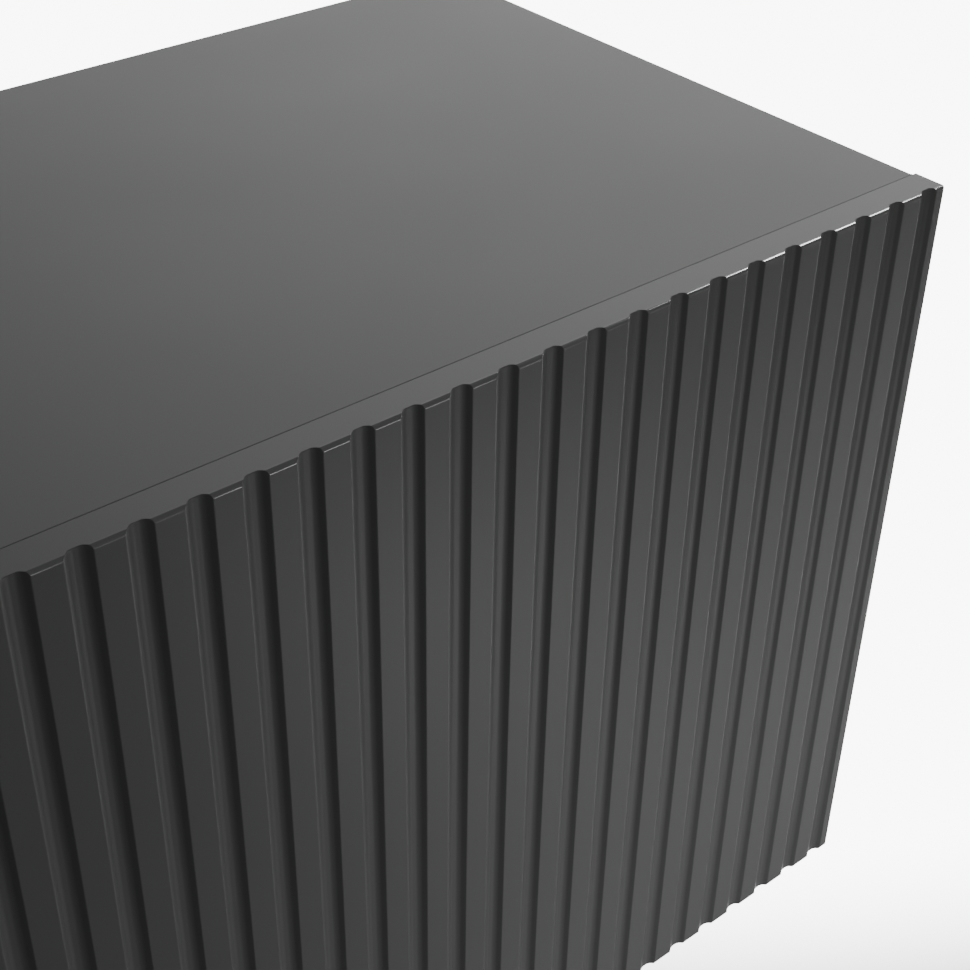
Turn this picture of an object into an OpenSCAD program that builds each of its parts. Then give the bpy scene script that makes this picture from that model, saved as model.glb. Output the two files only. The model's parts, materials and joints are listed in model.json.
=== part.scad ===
// Low sideboard with three fluted, handleless doors on cup hinges, on a steel base.
// Millimetres. Front faces -Y, +Z up, origin on the floor under the middle of the plan.

/* [Overall] */
// Width over the carcass
width = 1800; // [1400:10:2200]
// Depth from the ribs of the doors to the back edge
depth = 400; // [320:5:500]
// Height from the floor to the top edge of the doors
height = 750; // [600:5:900]
// Height of the carcass without its base
carcass_h = 472; // [380:1:580]

/* [Boards] */
// Thickness of the carcass boards
board_t = 18; // [15:1:22]
// Thickness of the edge banding
band_t = 1; // [0.5:0.1:2]
// Thickness of the back panels
back_t = 3; // [2.5:0.1:5]
// Depth of the groove that holds a back panel
back_groove = 6; // [4:0.5:7]
// Distance from the back edge to that groove
back_inset = 12; // [8:1:20]
// How far a shelf stands behind the front of the carcass
shelf_setback = 22; // [15:1:60]
// Side play of a shelf in its bay
shelf_play = 1; // [0.5:0.1:3]

/* [Doors] */
// Thickness of a door over its ribs
door_t = 18.5; // [18:0.1:25]
// Gap between two doors
door_gap = 3; // [2.5:0.1:5]
// Gap between a door and the carcass
door_back_gap = 1.5; // [1.5:0.1:2.5]
// How far the doors stand above the top
door_proud = 1.5; // [0:0.1:4]
// How far the doors end above the underside of the carcass
door_lift = 1; // [0:0.1:6]

/* [Fluting] */
// Number of grooves in a door
flutes = 24; // [16:1:36]
// Width of a groove's floor
groove_floor = 5.5; // [3:0.1:8]
// Width of a groove's sloping flank
groove_flank = 3.25; // [1:0.05:4]
// Depth of a groove
groove_depth = 2.75; // [1:0.05:3]
// Width taken off the outermost rib at each end
end_trim = 0.5; // [0:0.1:3]

/* [Hinges] */
// Distance from a door's end to its hinge
hinge_inset = 100; // [80:1:130]
// Diameter of a hinge cup
cup_d = 35; // [34.5:0.1:36]
// Depth of a hinge cup
cup_depth = 13.1; // [12.8:0.1:13.2]
// Distance from a door's edge to the centre of the cup
cup_inset = 21.5; // [21:0.1:22]
// Distance from the front of the carcass to the screws of a mounting plate
system_line = 37; // [36:1:40]
// Diameter of a hinge pin
hinge_pin_d = 2; // [1.8:0.1:2.2]

/* [Fittings] */
// Diameter of a cam lock
cam_d = 15; // [12:0.5:16]
// Depth of a cam lock
cam_depth = 12.5; // [10:0.5:13.5]
// Distance from a board's end to the centre of a cam
cam_inset = 34; // [30:1:40]
// Diameter of a dowel
dowel_d = 8; // [6:1:10]
// Length of a dowel
dowel_len = 30; // [24:1:34]
// Diameter of a shelf pin
shelf_pin_d = 5; // [4:0.5:6]
// Spacing of the shelf pin holes
row_pitch = 32; // [25:1:32]
// Clearance of a fitting in its hole
snug = 0.05; // [0.02:0.01:0.1]

/* [Base] */
// Side of the square steel tube
tube = 25; // [20:1:40]
// Wall of the square steel tube
tube_wall = 2; // [1.5:0.1:3]
// Distance from the end of the carcass to the middle of a leg frame
frame_inset = 150; // [100:5:300]
// Distance from the front and the back of the carcass to a leg frame
frame_setback = 40; // [20:5:80]
// Thickness of the mounting flanges
flange_t = 3; // [2:0.5:5]
// Diameter of a levelling foot
foot_d = 30; // [24:1:40]
// Thickness of a levelling foot
foot_t = 8; // [6:0.5:15]

/* [Hidden] */
$fn = 48;
DOORS = 3;
BODY_GREY = [0.33, 0.34, 0.34];
BAND_GREY = [0.25, 0.26, 0.26];
STEEL_BLACK = [0.1, 0.1, 0.1];
NICKEL = [0.72, 0.72, 0.7];
PLASTIC_GREY = [0.42, 0.43, 0.44];
over = 1; // how far a cutter runs past the face it opens

// Planes of the carcass
top_z = height - door_proud;
under_z = top_z - carcass_h;
front_y = -depth / 2 + door_t + door_back_gap;
back_y = depth / 2;
inner_top = top_z - board_t;
inner_bottom = under_z + board_t;
mid_z = (inner_top + inner_bottom) / 2;
groove_rear = back_y - back_inset; // the groove for the back panels, along Y
groove_front = groove_rear - back_t - 4 * snug;

// Fluting runs unbroken over all the doors, so a seam falls in the middle of a rib
flute_pitch = (width + 2 * end_trim) / (DOORS * flutes);
function seam_x(k) = -width / 2 - end_trim + k * flutes * flute_pitch;
function door_left(d) = d == 0 ? -width / 2 : seam_x(d) + door_gap / 2;
function door_right(d) = d == DOORS - 1 ? width / 2 : seam_x(d + 1) - door_gap / 2;
door_bottom = under_z + door_lift;
door_back_y = front_y - door_back_gap;

// Upright boards from left to right: side, two dividers, side
uprights = [-width / 2 + board_t / 2, seam_x(1), seam_x(2), width / 2 - board_t / 2];
function bay_left(b) = uprights[b] + board_t / 2;
function bay_right(b) = uprights[b + 1] - board_t / 2;
// The face of an upright that takes its cams looks into the cabinet
function cam_side(u) = u < 2 ? 1 : -1;

// Cam joints and their dowels, by distance along Y
cam_front = 60; // from the front of the carcass to the front cam
cam_rear = 60; // from the back edge to the rear cam
cam_ys = [front_y + cam_front, back_y - cam_rear];
dowel_off = 32; // from a cam to its dowel
bolt_d = 6.5; // shaft of a cam bolt
bolt_thread_d = 5; // end of a cam bolt that is screwed into the board
bolt_thread = 11; // length of that end
dowel_short = 11; // part of a dowel in the top or bottom board
glue_room = 1; // left behind a dowel
dowel_ys = [cam_ys[0] + dowel_off, cam_ys[1] + dowel_off];

// Shelf pins
pin_in = 8; // length in the upright
pin_out = 8; // length under the shelf
pin_rows = [front_y + system_line, back_y - 2 * system_line];
row_steps = [-2:2];
shelf_z = mid_z;

// Hinges, in a local frame: X from the door's edge inwards, Y into the carcass, Z up
hinge_zs = [door_bottom + hinge_inset, height - hinge_inset];
arm_outer = [27.7, 8]; // pivot of the outer links on the arm
arm_inner = [46, 3.5]; // pivot of the inner link on the arm
cup_outer = [8, -10]; // pivot of the outer links in the cup
cup_inner = [11.5, -7.8]; // pivot of the inner link in the cup
outer_knees = [[15.9, -12], [18, -11.9]]; // bends of an outer link
inner_knees = [[22, -5], [38.4, 0.7]]; // bends of an inner link
link_t = 1.6; // thickness of a link, seen along its pins
cheek_in = 2.7; // inner face of the outer links' cheeks
cheek_out = 4.3; // their outer face
inner_half = 2.2; // half width of an inner link
fork_half = 1; // half the slot in its end, which runs past the lug of the cup
fork_len = 5.5; // from the pin to the end of that slot
lug_half = 0.8; // half thickness of the lug that carries the inner pin of a cup
lug_wall = 0.8; // metal of the lug around that pin
arm_half = 8; // half width of an arm
arm_wall = 1.3; // sheet of an arm
run_fit = 0.06; // radial clearance of a hinge pin
open_fit = 1.4; // radial clearance at the pivot where the linkage is opened
eye_wall = 0.8; // wall of a link around its pin
web_part = [0.62, 0.84]; // shares of the rear stretch of an outer link between which its cheeks are joined
plate_rise = 3; // from a side board to the open side of an arm's channel
arm_floor = board_t + plate_rise; // from the door's edge to that side
arm_deep = 11; // depth of that channel
arm_roof = 2; // thickness of its roof
arm_front = 14; // where its cheeks narrow towards the nose
arm_step = 35; // where its roof starts
arm_back = 78; // where it ends
nose = 2.6; // metal around the pivots of an arm
plate_t = 2; // thickness of a mounting plate's wings
plate_half = 26; // half height of a mounting plate
plate_wing = 9; // half the depth of its wings
plate_gap = 0.2; // between an arm and the block of its plate
plate_screw = 16; // from the middle of a plate to its screws
plate_screw_d = 5;
plate_screw_in = 10.5; // depth of those screws in the board
cup_wall = 0.7; // sheet of a cup
cup_rim = 1.5; // width of its flange on the door
cup_flange_t = 1; // thickness of that flange
cup_ear = 5; // from a screw to the edge of the flange
cup_screw_half = 24; // from the middle of a cup to its screws
cup_screw_x = cup_inset + 5.5; // from the door's edge to those screws
cup_screw_d = 3.5;
cup_screw_in = 9; // depth of those screws in the door

// Push latches
latch_from_edge = 60; // from the free edge of a door to its latch
latch_z = inner_top - 9; // height of a latch's middle, just under the top
latch_d = 14; // outside of its housing
latch_len = 62; // length of its housing
latch_front = 1; // from the front of the carcass to that housing
latch_mid = latch_front + latch_len / 2; // middle of the ear with its screws
latch_ear = 14; // from the middle of a latch to its screws
latch_ear_t = 2; // thickness of the ear
latch_ear_edge = 5; // from a screw to the end of the ear
latch_ear_half = 7; // half the width of the ear
latch_screw_d = 3;
latch_screw_len = 10;
plunger_d = 5;
plunger_in = 40; // part of a plunger inside its housing
plunger_play = 0.1; // gap between a plunger and its strike plate
strike_t = 0.7; // thickness of a strike plate
strike_half = [10, 7]; // half its width and height

// Base
frame_x = width / 2 - frame_inset;
frame_front = front_y + frame_setback;
frame_rear = back_y - frame_setback;
frame_top = under_z - flange_t;
frame_low = foot_t + 0.2; // the frame rests on its screwed-in feet
foot_in = 30; // from the end of a frame to its foot
stud_d = 8;
stud_len = frame_low + tube - tube_wall - 2 - foot_t; // ends inside the lower rail
nut_d = 16;
nut_h = 10;
flange_x = 80;
flange_y = 50;
flange_screw = 30; // from the middle of a flange to its screws
frame_screw_d = 4.5;
frame_screw_len = 12;
foot_spots = [
    [-frame_x, frame_front + foot_in], [-frame_x, frame_rear - foot_in],
    [frame_x, frame_front + foot_in], [frame_x, frame_rear - foot_in], [0, 0]
];

// ---------- helpers ----------

// Box between two corners
module block(lo, hi) {
    translate(lo) cube(hi - lo);
}

// Cylinder along Y that starts at a point
module rod_y(p, d, len) {
    translate(p) rotate([-90, 0, 0]) cylinder(d = d, h = len);
}

// Cylinder along X, centred on a point
module rod_x(p, d, len) {
    translate(p) rotate([0, 90, 0]) cylinder(d = d, h = len, center = true);
}

// Children drawn for the hinges of a door; the right door is hinged on its right
module on_hinge_edge(d) {
    if (d == DOORS - 1)
        translate([door_right(d), front_y, 0]) mirror([1, 0, 0]) children();
    else
        translate([door_left(d), front_y, 0]) children();
}

module at_hinges(d) {
    for (z = hinge_zs) on_hinge_edge(d) translate([0, 0, z]) children();
}

// Distance from a door's hinge edge to the face that carries its mounting plates
function plate_face(d) = d == 1 ? uprights[1] + board_t / 2 - door_left(1) : board_t;

function unit(v) = v / norm(v);
function perp(v) = [-v[1], v[0]];
// Mitred sideways step at a point of a bent bar, for a half width of 1
function mitre(pts, i) =
    let (a = unit(pts[max(i, 1)] - pts[max(i, 1) - 1]))
    let (b = unit(pts[min(i + 1, len(pts) - 1)] - pts[min(i, len(pts) - 2)]))
    let (n = unit(perp(a + b)))
    n / (n * perp(a));

// Flat bar of constant width along a list of points, as a 2D outline
module bent_bar(pts, w) {
    last = len(pts) - 1;
    polygon(concat(
        [for (i = [0:last]) pts[i] + w / 2 * mitre(pts, i)],
        [for (i = [last:-1:0]) pts[i] - w / 2 * mitre(pts, i)]
    ));
}

// ---------- carcass ----------

// Holes in a top or bottom board, drilled upwards from the plane of its inner face
module end_board_holes() {
    for (x = uprights) {
        for (y = cam_ys) translate([x, y, -over]) cylinder(d = bolt_thread_d, h = bolt_thread + over);
        for (y = dowel_ys) translate([x, y, -over]) cylinder(d = dowel_d + 2 * snug, h = dowel_short + over);
    }
    block([-width / 2, groove_front, -over], [width / 2, groove_rear, back_groove]);
}

module board_lying(z) {
    block([-width / 2 + band_t, front_y + band_t, z], [width / 2 - band_t, back_y, z + board_t]);
}

module top_panel() {
    color(BODY_GREY) difference() {
        board_lying(inner_top);
        translate([0, 0, inner_top]) end_board_holes();
        for (d = [0:DOORS - 1]) at_latch_screws(d) cylinder(d = latch_screw_d, h = latch_screw_len);
    }
}

module bottom_panel() {
    color(BODY_GREY) difference() {
        board_lying(under_z);
        translate([0, 0, inner_bottom]) mirror([0, 0, 1]) end_board_holes();
        at_frame_screws() translate([0, 0, -over])
            cylinder(d = frame_screw_d, h = frame_screw_len - flange_t + over);
    }
}

// Faces of an upright that look into a bay, as signs of X
function bay_faces(u) = u == 0 ? [1] : u == DOORS ? [-1] : [-1, 1];
// Doors whose mounting plates are screwed to an upright
function plate_doors(u) = u == 0 ? [0] : u == 1 ? [1] : u == DOORS ? [2] : [];

module upright(u) {
    x = uprights[u];
    color(BODY_GREY) difference() {
        block([x - board_t / 2, front_y + band_t, inner_bottom], [x + board_t / 2, back_y, inner_top]);
        for (top = [0, 1]) translate([0, 0, top ? inner_top : inner_bottom]) mirror([0, 0, top ? 1 : 0]) {
            for (y = cam_ys) {
                translate([x, y, -over]) cylinder(d = bolt_d + 4 * snug, h = cam_inset + over);
                rod_x([x + cam_side(u) * (board_t / 2 - cam_depth / 2 + over / 2 - snug), y, cam_inset],
                      cam_d + 2 * snug, cam_depth + over + 2 * snug);
            }
            for (y = dowel_ys)
                translate([x, y, -over])
                    cylinder(d = dowel_d + 2 * snug, h = dowel_len - dowel_short + glue_room + over);
        }
        for (s = bay_faces(u)) {
            for (y = pin_rows, k = row_steps)
                rod_x([x + s * (board_t - pin_in + over) / 2, y, shelf_z - shelf_pin_d / 2 + k * row_pitch],
                      shelf_pin_d + 2 * snug, pin_in + over);
            translate([x + s * board_t / 2, 0, 0])
                block([-back_groove, groove_front, inner_bottom - over],
                      [back_groove, groove_rear, inner_top + over]);
        }
        for (d = plate_doors(u)) at_hinges(d) plate_screw_shafts(plate_face(d));
    }
}

module back_panel(b) {
    reach = back_groove - 0.5; // how far a back reaches into its grooves
    y = groove_front + 2 * snug;
    color("dimgray")
        block([bay_left(b) - reach, y, inner_bottom - reach],
              [bay_right(b) + reach, y + back_t, inner_top + reach]);
}

module shelf(b) {
    color(BODY_GREY)
        block([bay_left(b) + shelf_play, front_y + shelf_setback + band_t, shelf_z],
              [bay_right(b) - shelf_play, groove_front - shelf_play, shelf_z + board_t]);
}

module edge_bands() {
    color(BAND_GREY) {
        for (z = [under_z, inner_top]) {
            block([-width / 2, front_y, z], [width / 2, front_y + band_t, z + board_t]);
            for (x = [-width / 2, width / 2 - band_t])
                block([x, front_y + band_t, z], [x + band_t, back_y, z + board_t]);
        }
        for (x = uprights)
            block([x - board_t / 2, front_y, inner_bottom], [x + board_t / 2, front_y + band_t, inner_top]);
        for (b = [0:DOORS - 1])
            block([bay_left(b) + shelf_play, front_y + shelf_setback, shelf_z],
                  [bay_right(b) - shelf_play, front_y + shelf_setback + band_t, shelf_z + board_t]);
    }
}

module shelf_pins() {
    color(NICKEL) for (b = [0:DOORS - 1], y = pin_rows) {
        for (side = [[bay_left(b), 1], [bay_right(b), -1]])
            rod_x([side[0] + side[1] * (pin_out - pin_in) / 2, y, shelf_z - shelf_pin_d / 2],
                  shelf_pin_d, pin_in + pin_out);
    }
}

// Children at every joint end between an upright and a lying board, with Z into the upright
module at_upright_ends(u) {
    translate([uprights[u], 0, inner_bottom]) children();
    translate([uprights[u], 0, inner_top]) mirror([0, 0, 1]) children();
}

module cam_locks() {
    slot_w = 2; // width and depth of the screwdriver slot
    color(NICKEL) for (u = [0:DOORS]) at_upright_ends(u) for (y = cam_ys) {
        face = cam_side(u) * board_t / 2;
        difference() {
            rod_x([face - cam_side(u) * cam_depth / 2, y, cam_inset], cam_d, cam_depth);
            translate([face, y, cam_inset]) cube([2 * slot_w, cam_d * 0.7, slot_w], center = true);
            translate([face, y, cam_inset]) cube([2 * slot_w, slot_w, cam_d * 0.7], center = true);
            translate([0, y, 0]) cylinder(d = bolt_d + 4 * snug, h = cam_inset);
        }
    }
}

module cam_bolts() {
    head = 3; // the bolt's head lies in the middle of the cam
    neck_d = 4;
    color(NICKEL) for (u = [0:DOORS]) at_upright_ends(u) for (y = cam_ys) translate([0, y, 0]) {
        translate([0, 0, -bolt_thread]) cylinder(d = bolt_thread_d, h = bolt_thread);
        cylinder(d = bolt_d, h = cam_inset - cam_d / 2);
        cylinder(d = neck_d, h = cam_inset - head / 2);
        translate([0, 0, cam_inset - head - 1]) cylinder(d = bolt_d, h = head);
    }
}

module dowels() {
    color("burlywood") for (u = [0:DOORS]) at_upright_ends(u) for (y = dowel_ys)
        translate([0, y, -dowel_short + snug]) cylinder(d = dowel_d, h = dowel_len);
}

// ---------- base ----------

module at_frame_screws() {
    for (sx = [-1, 1]) {
        for (x = [-frame_x, frame_x], y = [frame_front + flange_y / 2, frame_rear - flange_y / 2])
            translate([x + sx * flange_screw, y, under_z]) children();
        for (sy = [-1, 1]) translate([sx * flange_screw, sy * flange_screw, under_z]) children();
    }
}

module square_tube(len) {
    difference() {
        translate([-tube / 2, -tube / 2, 0]) cube([tube, tube, len]);
        translate([-tube / 2 + tube_wall, -tube / 2 + tube_wall, -over])
            cube([tube - 2 * tube_wall, tube - 2 * tube_wall, len + 2 * over]);
    }
}

// A welded loop of tube under a mounting flange at each end
module leg_frame(x) {
    bore = tube - 2 * tube_wall;
    color(STEEL_BLACK) translate([x, 0, 0]) difference() {
        union() {
            difference() {
                block([-tube / 2, frame_front, frame_low], [tube / 2, frame_rear, frame_top]);
                block([-tube, frame_front + tube, frame_low + tube],
                      [tube, frame_rear - tube, frame_top - tube]);
            }
            for (y = [frame_front, frame_rear - flange_y])
                block([-flange_x / 2, y, frame_top], [flange_x / 2, y + flange_y, under_z]);
        }
        difference() {
            block([-bore / 2, frame_front + tube_wall, frame_low + tube_wall],
                  [bore / 2, frame_rear - tube_wall, frame_top - tube_wall]);
            block([-tube, frame_front + tube_wall + bore, frame_low + tube_wall + bore],
                  [tube, frame_rear - tube_wall - bore, frame_top - tube_wall - bore]);
        }
        for (y = [frame_front + foot_in, frame_rear - foot_in])
            translate([0, y, frame_low - over]) cylinder(d = stud_d + 1, h = tube_wall + 2 * over);
        for (sx = [-1, 1], y = [frame_front + flange_y / 2, frame_rear - flange_y / 2])
            translate([sx * flange_screw, y, frame_top - over])
                cylinder(d = frame_screw_d + 1, h = flange_t + 2 * over);
    }
}

module centre_leg() {
    color(STEEL_BLACK) difference() {
        union() {
            translate([0, 0, frame_low + tube_wall]) square_tube(frame_top - frame_low - tube_wall);
            translate([-tube / 2, -tube / 2, frame_low]) cube([tube, tube, tube_wall]);
            translate([-flange_x / 2, -flange_x / 2, frame_top]) cube([flange_x, flange_x, flange_t]);
        }
        translate([0, 0, frame_low - over]) cylinder(d = stud_d + 1, h = tube_wall + 2 * over);
        translate([0, 0, frame_top - over]) cylinder(d = stud_d, h = flange_t + 2 * over);
        for (sx = [-1, 1], sy = [-1, 1])
            translate([sx * flange_screw, sy * flange_screw, frame_top - over])
                cylinder(d = frame_screw_d + 1, h = flange_t + 2 * over);
    }
}

module foot_nuts() {
    color(NICKEL) for (p = foot_spots) translate([p[0], p[1], frame_low + tube_wall]) difference() {
        cylinder(d = nut_d, h = nut_h);
        translate([0, 0, -over]) cylinder(d = stud_d + 2 * snug, h = nut_h + 2 * over);
    }
}

module frame_screws() {
    head_d = 9;
    head_h = 2.5;
    color(STEEL_BLACK) at_frame_screws() {
        translate([0, 0, -flange_t]) cylinder(d = frame_screw_d - 2 * snug, h = frame_screw_len);
        translate([0, 0, -flange_t - head_h]) cylinder(d = head_d, h = head_h);
    }
}

// Glide with a threaded stud, drawn at its highest setting
module foot(i) {
    pad_t = 2.5; // height of the slope at the sole and at the top
    neck_d = stud_d + 8; // flat around the stud
    color(PLASTIC_GREY) translate([foot_spots[i][0], foot_spots[i][1], 0]) {
        cylinder(d1 = foot_d - 2, d2 = foot_d, h = pad_t);
        translate([0, 0, pad_t]) cylinder(d = foot_d, h = foot_t - 2 * pad_t);
        translate([0, 0, foot_t - pad_t]) cylinder(d1 = foot_d, d2 = neck_d, h = pad_t);
        cylinder(d = stud_d, h = foot_t + stud_len);
    }
}

// ---------- doors ----------

module door(d) {
    color(BODY_GREY) difference() {
        block([door_left(d), -depth / 2, door_bottom], [door_right(d), door_back_y, height]);
        for (i = [0:flutes - 1])
            translate([seam_x(d) + (i + 0.5) * flute_pitch, -depth / 2, door_bottom - over])
                linear_extrude(height - door_bottom + 2 * over) groove_outline();
        at_hinges(d) {
            rod_y([cup_inset, -door_back_gap - cup_depth - snug, 0], cup_d + 2 * snug, cup_depth + over);
            for (s = [-1, 1])
                rod_y([cup_screw_x, -door_back_gap - cup_screw_in - over, s * cup_screw_half], cup_screw_d,
                      cup_screw_in + 2 * over);
        }
    }
}

module groove_outline() {
    half = groove_floor / 2;
    mouth = half + groove_flank;
    polygon([
        [-mouth, -over], [-mouth, 0], [-half, groove_depth], [half, groove_depth], [mouth, 0], [mouth, -over]
    ]);
}

// Pressed cup with its flange, and inside it a lug between the forks of the inner link
module hinge_cups(d) {
    face = -door_back_gap; // back of the door
    ear = cup_screw_half + cup_ear;
    floor_y = face - cup_depth + cup_wall;
    color(NICKEL) at_hinges(d) translate([0, 0, -lug_half]) linear_extrude(2 * lug_half) difference() {
        union() {
            translate(cup_inner) circle(r = hinge_pin_d / 2 + lug_wall);
            translate([cup_inner[0] - hinge_pin_d / 2 - lug_wall / 2, floor_y - cup_wall / 2])
                square([hinge_pin_d + lug_wall, cup_inner[1] - floor_y + cup_wall / 2]);
        }
        translate(cup_inner) circle(d = hinge_pin_d);
    }
    color(NICKEL) at_hinges(d) difference() {
        union() {
            rod_y([cup_inset, face - cup_depth, 0], cup_d, cup_depth);
            rod_y([cup_inset, face, 0], cup_d + 2 * cup_rim, cup_flange_t);
            block([cup_screw_x - cup_ear, face, -ear], [cup_screw_x + cup_ear, face + cup_flange_t, ear]);
        }
        rod_y([cup_inset, floor_y, 0], cup_d - 2 * cup_wall, cup_depth + over);
        for (s = [-1, 1])
            rod_y([cup_screw_x, face - over, s * cup_screw_half], cup_screw_d + 2 * snug,
                  cup_flange_t + 2 * over);
    }
}

module cup_screws(d) {
    head_d = 7;
    head_t = 0.4;
    face = -door_back_gap;
    color(NICKEL) at_hinges(d) for (s = [-1, 1]) {
        rod_y([cup_screw_x, face - cup_screw_in, s * cup_screw_half], cup_screw_d - 2 * snug,
              cup_screw_in + cup_flange_t);
        rod_y([cup_screw_x, face + cup_flange_t, s * cup_screw_half], head_d, head_t);
    }
}

// Height in the cup that a pin may reach: its far corner ends inside the cup's wall
function cup_span(x) = sqrt(pow((cup_d - cup_wall) / 2, 2) - pow(abs(x - cup_inset) + hinge_pin_d / 2, 2));

// The outer links turn on stubs in the cup's wall and sweep over the short inner pin in its lug
module cup_pins(d) {
    stub_from = inner_half + 0.2;
    color(NICKEL) at_hinges(d) {
        translate(cup_inner) cylinder(d = hinge_pin_d, h = 2 * inner_half, center = true);
        for (s = [0, 1]) mirror([0, 0, s]) translate([cup_outer[0], cup_outer[1], stub_from])
            cylinder(d = hinge_pin_d, h = cup_span(cup_outer[0]) - stub_from);
    }
}

module strike_plate(d) {
    color(NICKEL) on_hinge_edge(d)
        block([latch_x(d) - strike_half[0], -door_back_gap, latch_z - strike_half[1]],
              [latch_x(d) + strike_half[0], -door_back_gap + strike_t, latch_z + strike_half[1]]);
}

// ---------- hinges ----------

// Pair of cheeks seen along their pins: bent bars with an eye at each end
module link(ends, knees, fits, half_lo, half_hi) {
    for (s = [-1, 1]) translate([0, 0, s > 0 ? half_lo : -half_hi])
        linear_extrude(half_hi - half_lo) difference() {
            union() {
                bent_bar(concat([ends[0]], knees, [ends[1]]), link_t);
                for (i = [0, 1]) translate(ends[i]) circle(r = hinge_pin_d / 2 + fits[i] + eye_wall);
            }
            for (i = [0, 1]) translate(ends[i]) circle(r = hinge_pin_d / 2 + fits[i]);
        }
}

module outer_links(d) {
    start = outer_knees[1];
    run = arm_outer - start; // the stretch with the web that joins the two cheeks, clear of the inner link
    web_half = cheek_in + 0.5;
    color(NICKEL) at_hinges(d) {
        link([cup_outer, arm_outer], outer_knees, [run_fit, run_fit], cheek_in, cheek_out);
        translate([0, 0, -web_half]) linear_extrude(2 * web_half)
            bent_bar([for (share = web_part) start + share * run], link_t - 0.2);
    }
}

module inner_links(d) {
    start = cup_inner + fork_len * unit(inner_knees[0] - cup_inner);
    stop = arm_inner - (hinge_pin_d / 2 + eye_wall / 2) * unit(arm_inner - inner_knees[1]);
    web_half = fork_half + 0.3;
    color(NICKEL) at_hinges(d) {
        link([cup_inner, arm_inner], inner_knees, [open_fit, run_fit], fork_half, inner_half);
        translate([0, 0, -web_half]) linear_extrude(2 * web_half)
            bent_bar(concat([start], inner_knees, [stop]), link_t - 0.2);
    }
}

// Arm: a channel over the mounting plate with a nose that carries both pivots
module hinge_arms() {
    roof = arm_floor + arm_deep;
    color(NICKEL) for (d = [0:DOORS - 1]) at_hinges(d) {
        for (s = [-1, 1]) translate([0, 0, s > 0 ? arm_half - arm_wall : -arm_half])
            linear_extrude(arm_wall) difference() {
                polygon([
                    [arm_floor, arm_back], [arm_floor, arm_front],
                    arm_outer - [nose, 0], arm_outer - [0, nose],
                    arm_inner - nose * [0.7, 0.8], arm_inner + nose * [1, -0.4], arm_inner + nose * [1, 1.1],
                    [roof + 3, arm_step], [roof, arm_back]
                ]);
                for (p = [arm_outer, arm_inner]) translate(p) circle(d = hinge_pin_d);
            }
        block([roof - arm_roof, arm_step, -arm_half], [roof, arm_back, arm_half]);
    }
}

module arm_pins() {
    color(NICKEL) for (d = [0:DOORS - 1]) at_hinges(d) for (p = [arm_outer, arm_inner])
        translate(p) cylinder(d = hinge_pin_d, h = 2 * arm_half, center = true);
}

module plate_screw_shafts(face) {
    for (s = [-1, 1])
        rod_x([face - plate_screw_in / 2, system_line, s * plate_screw], plate_screw_d,
              plate_screw_in + 2 * over);
}

// Plate with two wings for its screws and a block under the arm, which the arm also rests on
module hinge_plates() {
    inside = arm_half - arm_wall - plate_gap;
    block_top = arm_floor + arm_deep - arm_roof - plate_gap;
    front = system_line - plate_wing;
    color(NICKEL) for (d = [0:DOORS - 1]) at_hinges(d) {
        face = plate_face(d);
        difference() {
            union() {
                block([face, front, -plate_half], [face + plate_t, system_line + plate_wing, plate_half]);
                block([face, front, -inside], [block_top, arm_back - 2, inside]);
                block([face, front, -arm_half], [arm_floor, arm_back, arm_half]);
            }
            for (s = [-1, 1])
                rod_x([face, system_line, s * plate_screw], plate_screw_d + 2 * snug, 3 * plate_t);
        }
    }
}

module plate_screws() {
    head_d = 8;
    head_t = 2;
    color(NICKEL) for (d = [0:DOORS - 1]) at_hinges(d) for (s = [-1, 1]) {
        face = plate_face(d);
        rod_x([face + (plate_t - plate_screw_in) / 2, system_line, s * plate_screw], plate_screw_d - 2 * snug,
              plate_screw_in + plate_t);
        rod_x([face + plate_t + head_t / 2, system_line, s * plate_screw], head_d, head_t);
    }
}

// ---------- push latches ----------

function latch_x(d) = door_right(d) - door_left(d) - latch_from_edge;

module at_latch_screws(d) {
    on_hinge_edge(d) for (s = [-1, 1])
        translate([latch_x(d) + s * latch_ear, latch_mid, inner_top]) children();
}

module latch_housings() {
    color(PLASTIC_GREY) for (d = [0:DOORS - 1]) on_hinge_edge(d) {
        x = latch_x(d);
        ear = latch_ear + latch_ear_edge;
        difference() {
            union() {
                rod_y([x, latch_front, latch_z], latch_d, latch_len);
                block([x - latch_d / 2, latch_front, latch_z],
                      [x + latch_d / 2, latch_front + latch_len, inner_top]);
                block([x - ear, latch_mid - latch_ear_half, inner_top - latch_ear_t],
                      [x + ear, latch_mid + latch_ear_half, inner_top]);
            }
            rod_y([x, latch_front - over, latch_z], plunger_d + 4 * snug, plunger_in + 2 * over);
            for (s = [-1, 1]) translate([x + s * latch_ear, latch_mid, inner_top - latch_ear_t - over])
                cylinder(d = latch_screw_d + 2 * snug, h = latch_ear_t + 2 * over);
        }
    }
}

module latch_screws() {
    head_d = 6;
    head_t = 2;
    color(NICKEL) for (d = [0:DOORS - 1]) at_latch_screws(d) translate([0, 0, -latch_ear_t]) {
        translate([0, 0, -head_t]) cylinder(d = head_d, h = head_t);
        cylinder(d = latch_screw_d - 2 * snug, h = latch_screw_len);
    }
}

module latch_plunger(d) {
    tip_y = -door_back_gap + strike_t + plunger_play;
    color("white") on_hinge_edge(d)
        rod_y([latch_x(d), tip_y, latch_z], plunger_d, plunger_in + latch_front - tip_y);
}

// ---------- nodes ----------

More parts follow.
